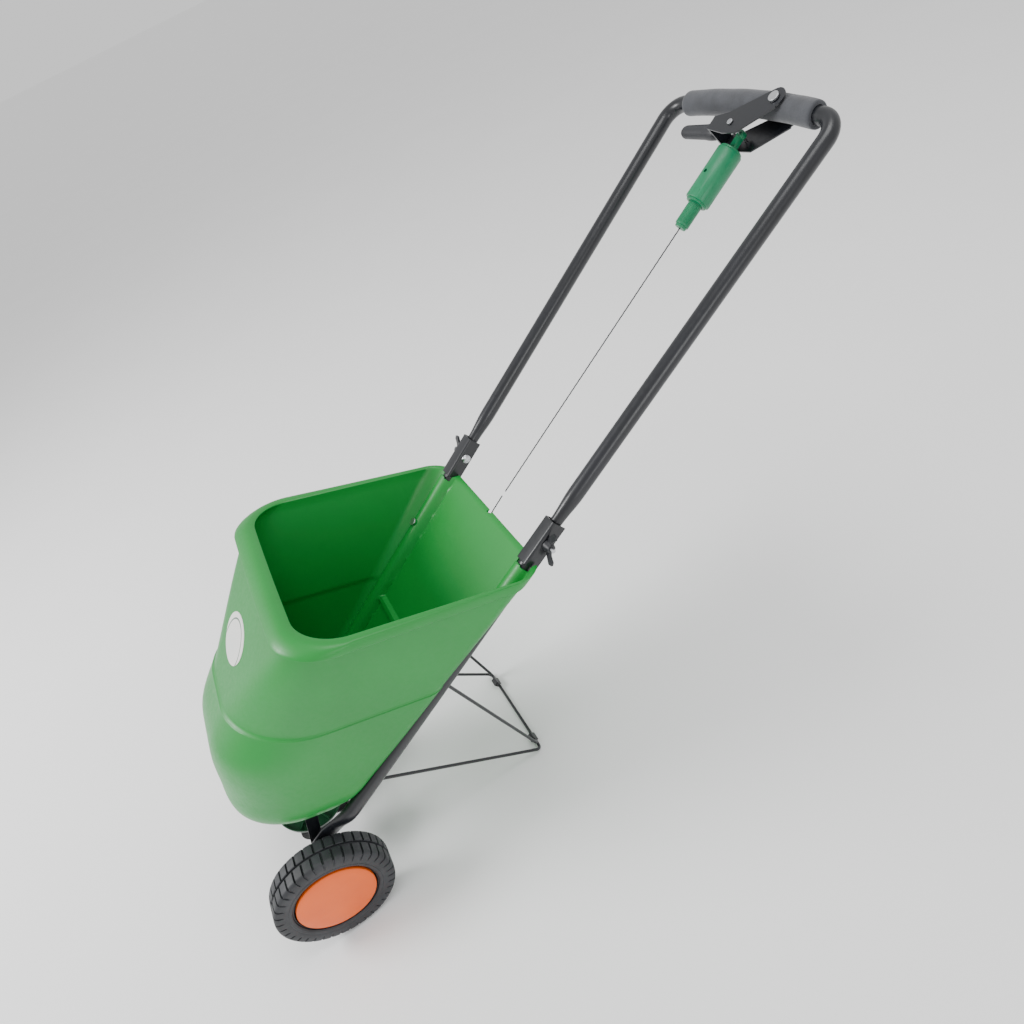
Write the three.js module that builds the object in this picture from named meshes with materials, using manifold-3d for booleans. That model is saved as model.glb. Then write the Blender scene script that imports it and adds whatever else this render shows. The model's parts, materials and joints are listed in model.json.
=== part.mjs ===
// Garden spreader: a walk-behind hopper on two wheels, with a folding handle, a squeeze lever
// that opens the outlet gate through a pull wire, and an impeller driven from the axle.
// Units are millimetres, +Z up. The operator stands at +Y and the spreader travels towards -Y.
import * as THREE from 'three';
import { mergeVertices } from 'three/addons/utils/BufferGeometryUtils.js';
import Module from 'manifold-3d';

const wasm = await Module();
wasm.setup();

// ---------------------------------------------------------------- driving dimensions
const GAP = 0.3;                      // clearance between neighbouring pieces
const wheel = { radius: 85, inner: 104.5, width: 44, rim: 60, capRadius: 57, bore: 5.3, sides: 40 };
const axle = { radius: 5, halfLength: 141 };
const tubeRadius = 10.75;
const tubeWall = 1.6;
const frame = {
  angle: THREE.MathUtils.degToRad(52), // tube slope with the hopper rim level
  y: 293, z: 434,                      // a point on the tube plane's centre line
  halfSpacing: 127.6, splay: 0.0418,   // half distance between tubes, and its growth per mm along them
};
const stand = { wire: 2.5, reach: 275, apex: -261, low: -343, high: -170, halfWidth: 94 };
const fold = { s: 66, endRadius: 8.5, boltRadius: 3 };
const channel = { half: 12, front: 12, back: -9, wall: 2.2, from: 30, to: 95 };
const bar = { s: 660, bow: 8, cornerRadius: 28 };
const grip = { radius: 16.5, halfLength: 124, bore: 11.1 };
const lever = { x: 58, s: 665, pinX: 10, pinS: 628, inner: 17.7, plate: 2, hole: 3.3, tipX: -97 };
const pull = { h: -6, guideS: 36, wire: 1, lowerEnd: 65.5, upperEnd: 73 };
const adjuster = { start: 21, sleeve: 76, sleeveRadius: 17.5, barrel: 38, barrelRadius: 10 };
const hopperBoltS = [-60, -290];
const rim = { z: 462, lip: 13, backLip: 3, drop: 15 };
const wall = 2.8;
const floorZ = 108;
// Hopper outline by height: [z, front y, half width, front corner radius, back corner radius].
const hopperLevels = [
  [108, -60, 85, 72, 25], [113, -76, 92, 77, 25], [128, -92, 103, 82, 28], [150, -97, 117, 87, 30],
  [182, -99, 123, 91, 30], [250, -99, 133, 99, 30], [304, -75, 141, 107, 32], [308, -71, 140, 107, 32],
  [448, 6, 164, 46, 36], [462, 20, 165, 56, 36],
];
const frontBow = 2;
const impeller = { z: 24, radius: 48, hub: 11, rimHeight: 9, fins: 6 };
const gears = { crownTeeth: 24, pinionTeeth: 8, pitch: 15, pinionPitch: 5, toothHalf: 0.48, depth: 2.1 };
const shaft = { radius: 2.5, bottom: 10.5, top: 150 };
const gate = { z: 102.7, thick: 2.4, halfWidth: 30, portHalf: 1.7, travel: 3.64, forkY: 59.8 };
const wireFoot = { s: -409, h: -16 };

// Standing on wheels and stand bar, the whole machine leans back from its rim-level position.
const e = new THREE.Vector2(Math.cos(frame.angle), Math.sin(frame.angle));
const apexY = frame.y + stand.apex * e.x + stand.reach * e.y;
const apexZ = frame.z + stand.apex * e.y - stand.reach * e.x;
const lean = Math.atan2(apexZ, apexY) + Math.asin((wheel.radius - stand.wire) / Math.hypot(apexY, apexZ));

// ---------------------------------------------------------------- materials
const paint = (color, roughness, metalness = 0) =>
  new THREE.MeshStandardMaterial({ color, roughness, metalness });
const material = {
  hopper: () => paint(0x12a347, 0.45), blackSteel: () => paint(0x15161a, 0.35, 0.6),
  zinc: () => paint(0xb9bcc0, 0.3, 0.9), tyre: () => paint(0x1a1b1d, 0.85),
  blackPlastic: () => paint(0x17181a, 0.5), orange: () => paint(0xe0641f, 0.4),
  darkGreen: () => paint(0x0b4a2a, 0.5), adjuster: () => paint(0x1f8a5c, 0.4),
  foam: () => paint(0x33353b, 0.95), label: () => paint(0xf2f1e6, 0.4), nylon: () => paint(0xd9d6c8, 0.5),
};

// ---------------------------------------------------------------- geometry helpers
const v3 = (x, y, z) => new THREE.Vector3(x, y, z);
const X = v3(1, 0, 0);
const Y = v3(0, 1, 0);
const Z = v3(0, 0, 1);

// Geometry to exact solid, faces turned outwards.
function solid(geometry) {
  const bare = geometry.clone();
  bare.deleteAttribute('normal');
  bare.deleteAttribute('uv');
  const merged = mergeVertices(bare, 1e-4);
  const index = Array.from(merged.index.array);
  if (signedVolume(merged.attributes.position, index) < 0) index.reverse();
  return new wasm.Manifold(new wasm.Mesh({
    numProp: 3,
    vertProperties: new Float32Array(merged.attributes.position.array),
    triVerts: new Uint32Array(index),
  }));
}
function signedVolume(position, index) {
  const [a, b, c] = [v3(0, 0, 0), v3(0, 0, 0), v3(0, 0, 0)];
  let sum = 0;
  for (let i = 0; i < index.length; i += 3) {
    [a, b, c].forEach((corner, k) => corner.fromBufferAttribute(position, index[i + k]));
    sum += a.dot(b.cross(c));
  }
  return sum;
}
function geometryOf(manifold) {
  const mesh = manifold.getMesh();
  const geometry = new THREE.BufferGeometry();
  const points = [];
  for (let i = 0; i < mesh.vertProperties.length; i += mesh.numProp) {
    points.push(mesh.vertProperties[i], mesh.vertProperties[i + 1], mesh.vertProperties[i + 2]);
  }
  geometry.setAttribute('position', new THREE.Float32BufferAttribute(points, 3));
  geometry.setIndex(Array.from(mesh.triVerts));
  return geometry;
}

// A closed solid through rings of points, each ring turning the same way round its middle.
function loft(rings) {
  const n = rings[0].length;
  const points = rings.flat();
  const index = [];
  for (let r = 0; r + 1 < rings.length; r += 1) {
    for (let i = 0; i < n; i += 1) {
      const a = r * n + i;
      const b = r * n + (i + 1) % n;
      index.push(a, b, b + n, a, b + n, a + n);
    }
  }
  for (const [ring, flip] of [[0, true], [rings.length - 1, false]]) {
    const middle = rings[ring].reduce((sum, p) => sum.add(p), v3(0, 0, 0)).divideScalar(n);
    points.push(middle);
    for (let i = 0; i < n; i += 1) {
      const a = ring * n + i;
      const b = ring * n + (i + 1) % n;
      index.push(...(flip ? [b, a, points.length - 1] : [a, b, points.length - 1]));
    }
  }
  const geometry = new THREE.BufferGeometry().setFromPoints(points);
  geometry.setIndex(index);
  return solid(geometry);
}

// An ellipse of points round a centre; u cross v points along the sweep.
function ellipseRing(centre, u, v, sides = 12) {
  const ring = [];
  for (let i = 0; i < sides; i += 1) {
    const t = (2 * Math.PI * i) / sides;
    ring.push(centre.clone().addScaledVector(u, Math.cos(t)).addScaledVector(v, Math.sin(t)));
  }
  return ring;
}

function cylinder(radius, length, centre, axis = Z, sides = 16) {
  const geometry = new THREE.CylinderGeometry(radius, radius, length, sides);
  geometry.applyQuaternion(new THREE.Quaternion().setFromUnitVectors(Y, axis));
  return solid(geometry).translate(centre.toArray());
}
const box = (x, y, z, centre) => solid(new THREE.BoxGeometry(x, y, z)).translate(centre.toArray());

// Solids of revolution from [place along the axis, radius] pairs that start and end on the axis or close.
function turnedAboutZ(profile, sides) {
  return solid(new THREE.LatheGeometry(profile.map(([z, r]) => new THREE.Vector2(r, z)), sides)
    .rotateX(Math.PI / 2));
}
const turnedAboutX = (profile, sides) => turnedAboutZ(profile, sides).rotate([0, 90, 0]);

// A round wire along a polyline whose corners are rounded.
function wire(points, radius, bend, sides = 8) {
  const path = new THREE.CurvePath();
  let from = points[0].clone();
  for (let i = 1; i + 1 < points.length; i += 1) {
    const into = points[i].clone().sub(points[i - 1]).normalize();
    const away = points[i + 1].clone().sub(points[i]).normalize();
    const start = points[i].clone().addScaledVector(into, -bend);
    const end = points[i].clone().addScaledVector(away, bend);
    path.add(new THREE.LineCurve3(from, start));
    path.add(new THREE.QuadraticBezierCurve3(start, points[i].clone(), end));
    from = end;
  }
  path.add(new THREE.LineCurve3(from, points[points.length - 1].clone()));
  const stations = path.curves.flatMap((curve, k) => {
    const steps = curve instanceof THREE.LineCurve3 ? 1 : 4;
    return Array.from({ length: steps + 1 }, (_, i) => [curve, i / steps]).slice(k ? 1 : 0);
  });
  let across = v3(0.3, 1, 0.2);
  return loft(stations.map(([curve, t]) => {
    const along = curve.getTangent(t).normalize();
    across = across.clone().addScaledVector(along, -across.dot(along)).normalize();
    const square = along.clone().cross(across);
    return ellipseRing(curve.getPoint(t), across.clone().multiplyScalar(radius), square.multiplyScalar(radius), sides);
  }));
}

const mirrored = (piece, side) => (side > 0 ? piece : piece.mirror([1, 0, 0]));
// Move a piece built round x = 0 out to the splayed tube line.
const ontoTube = (piece) => piece.warp((p) => { p[0] += tubeX(p[1]); });
const tubeX = (s) => frame.halfSpacing + frame.splay * s;
const toBody = (piece) => piece.rotate([THREE.MathUtils.radToDeg(frame.angle), 0, 0])
  .translate([0, frame.y, frame.z]);

// ---------------------------------------------------------------- the groups
const spreader = new THREE.Group();
const ground = new THREE.Group();     // wheels and axle: upright
ground.position.z = wheel.radius;
const body = new THREE.Group();       // hopper and drive: rim-level frame, leaned back
body.position.z = wheel.radius;
body.rotation.x = -lean;
const tubes = new THREE.Group();      // x across, y along the tubes, z square to them
tubes.position.set(0, frame.y, frame.z);
tubes.rotation.x = frame.angle;
body.add(tubes);
spreader.add(ground, body);

function add(group, name, piece, finish) {
  const mesh = new THREE.Mesh(geometryOf(piece), finish());
  mesh.name = name;
  group.add(mesh);
}
const SIDES = [['left', 1], ['right', -1]];

const cut = (whole, ...tools) => tools.reduce((rest, tool) => rest.subtract(tool), whole);
const join = (...pieces) => pieces.reduce((sum, piece) => sum.add(piece));

// ---------------------------------------------------------------- wheels and axle
const outerFace = wheel.inner + wheel.width;
function tyreProfile() {
  const tread = wheel.radius / Math.cos(Math.PI / wheel.sides);
  const shoulder = 5;
  return [
    [wheel.inner + 2, wheel.rim], [wheel.inner, wheel.rim + 4], [wheel.inner, tread - shoulder],
    [wheel.inner + 2, tread], [outerFace - 2, tread], [outerFace, tread - shoulder],
    [outerFace, wheel.rim + 4], [outerFace - 2, wheel.rim], [wheel.inner + 2, wheel.rim],
  ];
}
function hubProfile() {
  const seat = wheel.rim - GAP;
  return [
    [wheel.inner - 1.5, wheel.bore], [wheel.inner - 1.5, 16], [wheel.inner + 18, 18],
    [wheel.inner + 20, 40], [wheel.inner + 4, seat - 3], [wheel.inner + 4, seat], [outerFace - 4, seat],
    [outerFace - 4, seat - 1], [outerFace - 12, seat - 3], [outerFace - 12, wheel.bore],
    [wheel.inner - 1.5, wheel.bore],
  ];
}
function capProfile() {
  const r = wheel.capRadius - 0.8;
  return [
    [outerFace - 2, 0], [outerFace - 3, r - 7], [outerFace - 11.7, r - 6], [outerFace - 11.7, r - 2],
    [outerFace - 6, r], [outerFace - 1.5, r], [outerFace + 0.8, r * 0.7], [outerFace + 1.7, 0],
  ];
}
const ringProfile = (from, to, bore, radius) =>
  [[from, bore], [from, radius], [to, radius], [to, bore], [from, bore]];
function bushProfile() {
  return [
    [87.5, 5.3], [87.5, 11], [88.7, 11], [88.7, 7.7], [97.3, 7.7], [97.3, 5.3], [87.5, 5.3],
  ];
}
for (const [name, side] of SIDES) {
  const turned = (profile, sides) => mirrored(turnedAboutX(profile, sides), side);
  const flatDown = 180 / wheel.sides;
  add(ground, `tyre_${name}`, turned(tyreProfile(), wheel.sides).rotate([flatDown, 0, 0]), material.tyre);
  add(ground, `wheel_hub_${name}`, turned(hubProfile(), 28), material.blackPlastic);
  add(ground, `wheel_cap_${name}`, turned(capProfile(), 32), material.orange);
  add(ground, `axle_washer_${name}`, turned(ringProfile(99.5, 101, 5.3, 10), 16), material.zinc);
  add(ground, `axle_clip_${name}`, turned(ringProfile(137, 138.5, 5.3, 9), 16), material.zinc);
  add(ground, `axle_bush_${name}`, turned(bushProfile(), 16), material.nylon);
}
add(ground, 'axle_rod', cylinder(axle.radius, 2 * axle.halfLength, v3(0, 0, 0), X, 16), material.zinc);

// ---------------------------------------------------------------- gear drive and impeller
function crownGear() {
  const face = gears.pinionPitch + 1.2;
  const disc = turnedAboutX([[face, 5.3], [face, 18.5], [face + 3, 18.5], [face + 3, 9], [face + 10, 9],
    [face + 10, 5.3], [face, 5.3]], 32);
  const teeth = [];
  for (let i = 0; i < gears.crownTeeth; i += 1) {
    const tooth = box(gears.depth + 0.4, 2 * gears.toothHalf, 6.5, v3(face - gears.depth / 2 + 0.2, 0, gears.pitch));
    teeth.push(tooth.rotate([((i + 0.5) * 360) / gears.crownTeeth, 0, 0]));
  }
  return join(disc, ...teeth);
}
function pinion() {
  const root = gears.pinionPitch - 1.1;
  const height = 6;
  const middle = 15;
  const core = cylinder(root, height, v3(0, 0, middle), Z, 16);
  const teeth = [];
  for (let i = 0; i < gears.pinionTeeth; i += 1) {
    const tooth = box(gears.depth + 0.6, 2 * gears.toothHalf, height, v3(root + gears.depth / 2 - 0.3, 0, middle));
    teeth.push(tooth.rotate([0, 0, (i * 360) / gears.pinionTeeth]));
  }
  return cut(join(core, ...teeth), cylinder(shaft.radius + 0.2, 20, v3(0, 0, middle), Z, 12));
}
function gearboxHalf(up) {
  const shell = cut(cylinder(22, 46, v3(0, 0, 0), X, 24), cylinder(19.7, 41, v3(0, 0, 0), X, 24),
    cylinder(axle.radius + 0.5, 60, v3(0, 0, 0), X, 16));
  const half = shell.intersect(box(60, 60, 30, v3(0, 0, up * (15 + 0.2))));
  return up > 0 ? cut(half, cylinder(shaft.radius + 0.4, 20, v3(0, 0, 20), Z, 12)) : half;
}
function impellerSolid() {
  const { z, radius, rimHeight, hub } = impeller;
  const dish = turnedAboutZ([
    [z, shaft.radius + 0.3], [z, radius - 3], [z + rimHeight, radius], [z + rimHeight, radius - 2],
    [z + 2.4, radius - 5], [z + 2.4, hub], [z + 11, hub - 2], [z + 11, shaft.radius + 0.3], [z, shaft.radius + 0.3],
  ], 32);
  const fins = [];
  for (let i = 0; i < impeller.fins; i += 1) {
    const fin = box(radius - hub - 3, 1.8, 7, v3((radius + hub) / 2 - 2.5, 0, z + 5));
    fins.push(fin.rotate([0, 0, ((i + 0.5) * 360) / impeller.fins]));
  }
  return join(dish, ...fins);
}
function agitator() {
  const z = 122;
  const sleeve = cylinder(7, 14, v3(0, 0, z), Z, 16);
  const arm = box(64, 5, 4, v3(0, 0, z));
  const fingers = [-1, 1].map((side) => box(4, 5, 16, v3(side * 30, 0, z + 6)));
  return cut(join(sleeve, arm, ...fingers), cylinder(shaft.radius + 0.3, 30, v3(0, 0, z), Z, 12));
}
add(body, 'crown_gear', crownGear(), material.nylon);
add(body, 'impeller_pinion', pinion(), material.nylon);
add(body, 'gearbox_upper', gearboxHalf(1), material.blackPlastic);
add(body, 'gearbox_lower', gearboxHalf(-1), material.blackPlastic);
add(body, 'impeller_shaft', cylinder(shaft.radius, shaft.top - shaft.bottom,
  v3(0, 0, (shaft.top + shaft.bottom) / 2), Z, 12), material.zinc);
add(body, 'impeller', impellerSolid(), material.darkGreen);
add(body, 'agitator', agitator(), material.blackPlastic);

// ---------------------------------------------------------------- hopper
const backY = (z, h) => frame.y + (z - frame.z) / Math.tan(frame.angle) - h / Math.sin(frame.angle);
// One closed outline of the hopper, grown outwards by `grow` on three sides and `back` at the rear.
function hopperRing([z, front, half, frontRadius, backRadius], grow, back = grow) {
  const ring = [];
  const rear = Math.max(backY(z, -2) + back, front + 90 + back);
  const corner = (cx, cy, r, from, steps) => {
    for (let i = 0; i <= steps; i += 1) {
      const t = from + (i * Math.PI) / 2 / steps;
      const x = cx + r * Math.cos(t);
      const bow = cy < front + frontRadius + 1 ? frontBow * (1 - (x / half) ** 2) : 0;
      ring.push(v3(x, cy + r * Math.sin(t) - Math.max(bow, 0), z));
    }
  };
  const fx = half - frontRadius;
  const bx = half - backRadius;
  corner(bx, rear - backRadius - back, backRadius + Math.min(grow, back), 0, 4);
  corner(-bx, rear - backRadius - back, backRadius + Math.min(grow, back), Math.PI / 2, 4);
  corner(-fx, front + frontRadius, frontRadius + grow, Math.PI, 6);
  for (const x of [-0.5, 0, 0.5]) {
    ring.push(v3(x * fx, front - grow - frontBow * (1 - (x * fx / half) ** 2), z));
  }
  corner(fx, front + frontRadius, frontRadius + grow, 1.5 * Math.PI, 6);
  return ring;
}
const atLevel = (z) => {
  const k = Math.max(1, hopperLevels.findIndex((level) => level[0] >= z));
  const [low, high] = [hopperLevels[k - 1], hopperLevels[k]];
  const t = (z - low[0]) / (high[0] - low[0]);
  return low.map((value, i) => value + t * (high[i] - value));
};
const tubeLine = (radius, from, to, side) => {
  const ends = [from, to].map((s) => ellipseRing(v3(side * tubeX(s), s, 0), v3(radius, 0, 0), v3(0, 0, -radius), 16));
  return toBody(loft(ends));
};
const ports = (shift) => [-20, 0, 20].map((x) => box(9, 2 * gate.portHalf, 12, v3(x, 22 + shift, floorZ)));
function hopperShell() {
  const outside = loft(hopperLevels.map((level) => hopperRing(level, 0)));
  const insideLevels = hopperLevels.map((level) => hopperRing(level, -wall));
  insideLevels[0].forEach((p) => { p.z += wall; });
  insideLevels.push(insideLevels[insideLevels.length - 1].map((p) => v3(p.x, p.y + 5, p.z + 8)));
  const lipShape = [[-rim.drop, 1], [-rim.drop, 0.85], [-rim.drop + 3, 1], [-3, 1], [0, 0.7]].slice(1);
  const lipRings = lipShape.map(([dz, share]) =>
    hopperRing(atLevel(rim.z + dz), rim.lip * share, rim.backLip * share));
  const ridges = [1, -1].map((side) => tubeLine(tubeRadius + 0.5 + wall, -420, 12, side));
  const ledgeZ = 289;
  const ledge = box(280, 10, 5, v3(0, backY(ledgeZ, -2) - 6, ledgeZ));
  let inside = loft(insideLevels);
  inside = cut(inside, ...ridges, ledge);
  const clear = [1, -1].map((side) => tubeLine(tubeRadius + 0.5, -440, 33, side));
  const notches = [1, -1].map((side) =>
    toBody(box(2 * channel.half + 4, 90, 2 * channel.front + 3, v3(side * tubeX(60), 68, -1))));
  const boltHoles = SIDES.flatMap(([, side]) => hopperBoltS.map((s) =>
    toBody(cylinder(3.4, 40, v3(side * tubeX(s), s, 10), Z, 12))));
  const guideNotch = toBody(box(9, 30, 7, v3(0, pull.guideS + 2, pull.h + 2)));
  const shaftHole = cylinder(shaft.radius + 0.6, 12, v3(0, 0, floorZ), Z, 12);
  return cut(join(outside, loft(lipRings)), inside, ...clear, ...notches, ...boltHoles, guideNotch,
    ...ports(0), shaftHole);
}
function labelSolid() {
  const band = (grow) => loft([350, 380, 410].map((z) => hopperRing(atLevel(z), grow)));
  const oval = cylinder(1, 60, v3(0, 0, 0), Y, 28).scale([43, 1, 26]).translate([-8, -30, 371]);
  return band(0.9).subtract(band(0.35)).intersect(oval);
}
add(body, 'hopper', hopperShell(), material.hopper);
add(body, 'hopper_label', labelSolid(), material.label);

// ---------------------------------------------------------------- outlet under the hopper
function basePlate() {
  return cut(box(80, 68, 3, v3(0, 6, floorZ - 2.1)), ...ports(0), cylinder(3.2, 12, v3(0, 0, floorZ), Z, 12));
}
// The gate lies closed; the wire's ferrule pulls it open by the fork at its rear end.
function gatePlate() {
  const plate = box(2 * gate.halfWidth, 56, gate.thick, v3(0, 2, gate.z));
  const arms = [-1, 1].map((side) => box(4, 34, gate.thick, v3(side * 6, gate.forkY - 15.8, gate.z)));
  const prongs = [-1, 1].map((side) => box(5.5, 2.4, 16, v3(side * 4.75, gate.forkY, gate.z + 7)));
  return cut(join(plate, ...arms, ...prongs), box(10, 22, 12, v3(0, 2, gate.z)), ...ports(-gate.travel));
}
// Holds the gearbox against turning with the axle.
function gearboxArm() {
  const pad = box(14, 34, 3, v3(0, 39.5, -3));
  const post = box(14, 3, 98, v3(0, 55, 44.5));
  const cross = box(77, 6, 3, v3(0, 53.5, 93));
  const lugs = [-1, 1].map((side) => box(5, 24, 12.6, v3(side * 36, 45, 97.8)));
  return join(pad, post, cross, ...lugs);
}
add(body, 'outlet_base_plate', basePlate(), material.blackSteel);
add(body, 'gate_plate', gatePlate(), material.zinc);
add(body, 'gearbox_arm', gearboxArm(), material.blackSteel);

// ---------------------------------------------------------------- frame tubes, struts and stand
const standWires = () => {
  const apex = (side) => v3(side * stand.halfWidth, stand.apex, -stand.reach);
  const foot = (side) => v3(side * tubeX(stand.low), stand.low, -3);
  const head = (side) => v3(side * tubeX(stand.high), stand.high, -3);
  const inner = (side) => v3(side * (stand.halfWidth - 8), stand.apex + 3, -stand.reach + 5.8);
  const inward = (side) => v3(side * (stand.halfWidth - 36), stand.apex + 3, -stand.reach + 5.8);
  return {
    bar: (radius) => wire([foot(1), apex(1), apex(-1), foot(-1)], radius, 9),
    brace: (side, radius) => wire([head(side), inner(side), inward(side)], radius, 9),
  };
};
const axleInTube = new THREE.Vector2(
  -(frame.y * Math.cos(frame.angle) + frame.z * Math.sin(frame.angle)),
  frame.y * Math.sin(frame.angle) - frame.z * Math.cos(frame.angle));
function lowerTube() {
  const down = new THREE.Vector2(-Math.sin(frame.angle), -Math.cos(frame.angle));
  const legX = 93;
  const station = (x, s, h, ts, th, a, b) =>
    ellipseRing(v3(x, s, h), v3(a, 0, 0), v3(0, th, -ts).multiplyScalar(b), 16);
  const onLeg = (t, b) => station(legX, axleInTube.x - t * down.x, axleInTube.y - t * down.y, -down.x, -down.y, 4, b);
  const bendS = axleInTube.x + axleInTube.y * down.x / -down.y;
  const rings = [onLeg(-14, 5), onLeg(-11, 10), onLeg(-5, 13.4), onLeg(6, 14), onLeg(40, 14),
    station(legX, bendS, 0.5, -down.x / 2 + 0.5, -down.y / 2, 4, 14),
    station(95, -456, 0, 1, 0, 4, 13.6), station(100, -436, 0, 1, 0, 6.2, 12.4),
    station(107.5, -416, 0, 1, 0, 9.8, 11), station(tubeX(-398), -398, 0, 1, 0, tubeRadius, tubeRadius),
    station(tubeX(34), 34, 0, 1, 0, tubeRadius, tubeRadius)];
  const outline = new THREE.Shape();
  const { half, front, back, wall: w } = channel;
  outline.moveTo(-half, back);
  outline.lineTo(-half, front - 4);
  outline.lineTo(-half + 4, front);
  outline.lineTo(half - 4, front);
  outline.lineTo(half, front - 4);
  outline.lineTo(half, back);
  outline.lineTo(half - w, back);
  outline.lineTo(half - w, front - 5);
  outline.lineTo(half - w - 2, front - w);
  outline.lineTo(-half + w + 2, front - w);
  outline.lineTo(-half + w, front - 5);
  outline.lineTo(-half + w, back);
  const socket = solid(new THREE.ExtrudeGeometry(outline, { depth: channel.to - channel.from, bevelEnabled: false })
    .rotateX(Math.PI / 2).translate(0, channel.to, 0));
  const { bar: standBar, brace } = standWires();
  const tube = join(loft(rings), ontoTube(socket));
  return cut(tube,
    cylinder(8, 40, v3(legX, axleInTube.x, axleInTube.y), X, 16),
    cylinder(fold.boltRadius + 0.4, 60, v3(tubeX(fold.s), fold.s, 0), X, 12),
    ...hopperBoltS.map((s) => cylinder(3.4, 30, v3(tubeX(s), s, 8), Z, 12)),
    standBar(stand.wire + GAP), brace(1, stand.wire + GAP));
}
function strut() {
  const x = 80;
  const bar2 = box(3, 17, 104, v3(x, -5, 52));
  const foot = cylinder(12, 3, v3(x, 0, 0), X, 20);
  const tab = box(22, 17, 3, v3(x - 9.5, -5, 104.2));
  return cut(join(bar2, foot, tab), cylinder(axle.radius + 0.4, 20, v3(x, 0, 0), X, 16));
}
for (const [name, side] of SIDES) {
  add(tubes, `lower_tube_${name}`, mirrored(lowerTube(), side), material.blackSteel);
  add(body, `front_strut_${name}`, mirrored(strut(), side), material.blackSteel);
  hopperBoltS.forEach((s, i) => {
    const bolt = join(cylinder(6, 3, v3(tubeX(s), s, 16), Z, 16), cylinder(3, 22, v3(tubeX(s), s, 5.5), Z, 12));
    add(tubes, `hopper_bolt_${i ? 'lower' : 'upper'}_${name}`, mirrored(bolt, side), material.zinc);
  });
  add(tubes, `stand_brace_${name}`, mirrored(standWires().brace(1, stand.wire), side), material.blackSteel);
  const wires = [standWires().bar(stand.wire + GAP), standWires().brace(1, stand.wire + GAP)];
  const clip = box(14, 8.6, 9.4, v3(70, stand.apex + 1.2, -stand.reach + 4.6));
  add(tubes, `stand_clip_${name}`, mirrored(cut(clip, ...wires), side), material.blackSteel);
}
add(tubes, 'stand_bar', standWires().bar(stand.wire), material.blackSteel);

// ---------------------------------------------------------------- folding handle
const barS = (x) => bar.s + bar.bow * (1 - (x / 125) ** 2);
function handlePath() {
  const path = [];
  const put = (x, s, a, b) => path.push({ x, s, a, b });
  const end = fold.endRadius;
  for (const [drop, share] of [[0.97, 0.24], [0.75, 0.66], [0.4, 0.92], [0, 1]]) {
    put(tubeX(fold.s), fold.s - end * drop, 8, end * share);
  }
  put(tubeX(102), 102, 8, end);
  put(tubeX(140), 140, tubeRadius, tubeRadius);
  const cornerS = bar.s - bar.cornerRadius;
  for (let i = 0; i <= 6; i += 1) {
    const t = (i * Math.PI) / 12;
    put(tubeX(cornerS) - bar.cornerRadius * (1 - Math.cos(t)), cornerS + bar.cornerRadius * Math.sin(t),
      tubeRadius, tubeRadius);
  }
  for (const x of [95, 60, 20]) put(x, barS(x), tubeRadius, tubeRadius);
  return [...path, ...path.slice().reverse().map((p) => ({ ...p, x: -p.x }))];
}
function sweepInPlane(path, sides = 16) {
  const rings = path.map((p, i) => {
    const before = path[Math.max(i - 1, 0)];
    const after = path[Math.min(i + 1, path.length - 1)];
    const t = v3(after.x - before.x, after.s - before.s, 0).normalize();
    return ellipseRing(v3(p.x, p.s, 0), v3(t.y, -t.x, 0).multiplyScalar(p.a), v3(0, 0, -p.b), sides);
  });
  return loft(rings);
}
function handleTube() {
  const holes = [1, -1].map((side) =>
    cylinder(fold.boltRadius + 0.4, 40, v3(side * tubeX(fold.s), fold.s, 0), X, 12));
  const path = handlePath();
  const bore = path.map((p) => ({ ...p, a: p.a - tubeWall, b: Math.max(p.b - tubeWall, 1) }));
  bore[0].s -= 3;
  bore[bore.length - 1].s -= 3;
  return cut(sweepInPlane(path), sweepInPlane(bore, 12), ...holes, cylinder(lever.hole, 40, v3(lever.x, lever.s, 0), Z, 12));
}
function foamGrip() {
  const along = (half, r) => {
    const path = [];
    for (let i = 0; i <= 12; i += 1) {
      const x = half * (1 - i / 6);
      path.push({ x, s: barS(x), a: r, b: r });
    }
    return sweepInPlane(path, 20);
  };
  return cut(along(grip.halfLength - 4, grip.radius), along(grip.halfLength + 2, grip.bore),
    cylinder(4, 60, v3(lever.x, lever.s, 0), Z, 12));
}
add(tubes, 'handle_tube', handleTube(), material.blackSteel);
add(tubes, 'foam_grip', foamGrip(), material.foam);

// ---------------------------------------------------------------- squeeze lever
function leverPlate() {
  const shape = new THREE.Shape();
  shape.moveTo(-26, 616);
  shape.lineTo(6, 613);
  shape.lineTo(28, 615);
  shape.lineTo(lever.x + 11, lever.s - 12);
  shape.absarc(lever.x, lever.s, 14, -0.8, 2.2, false);
  shape.lineTo(-4, 641);
  shape.lineTo(-26, 634);
  const hole = (x, s, r) => {
    const ring = new THREE.Path();
    ring.absarc(x, s, r, 0, 2 * Math.PI, true);
    return ring;
  };
  shape.holes.push(hole(lever.x, lever.s, lever.hole), hole(lever.pinX, lever.pinS, 2.4));
  return solid(new THREE.ExtrudeGeometry(shape, { depth: lever.plate, bevelEnabled: false, curveSegments: 8 }));
}
const tang = (grow) => box(46 + 2 * grow, 10 + 2 * grow, 4 + 2 * grow, v3(-48, 622, 0));
function leverSolid() {
  const outer = lever.inner + lever.plate;
  return join(leverPlate().translate([0, 0, lever.inner]), leverPlate().translate([0, 0, -outer]),
    box(3, 18, 2 * outer, v3(-24.5, 625, 0)), tang(0));
}
function leverTip() {
  const rings = [[-27, 10.5, 9], [-32, 11.5, 10.5], [-60, 10, 9.5], [-88, 8.5, 9], [-95, 6.5, 7], [lever.tipX, 3.5, 4]]
    .map(([x, a, b]) => ellipseRing(v3(x, 625 + (x + 27) * 0.1, 0), v3(0, a, 0), v3(0, 0, -b), 16));
  return cut(loft(rings), tang(GAP));
}
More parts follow.
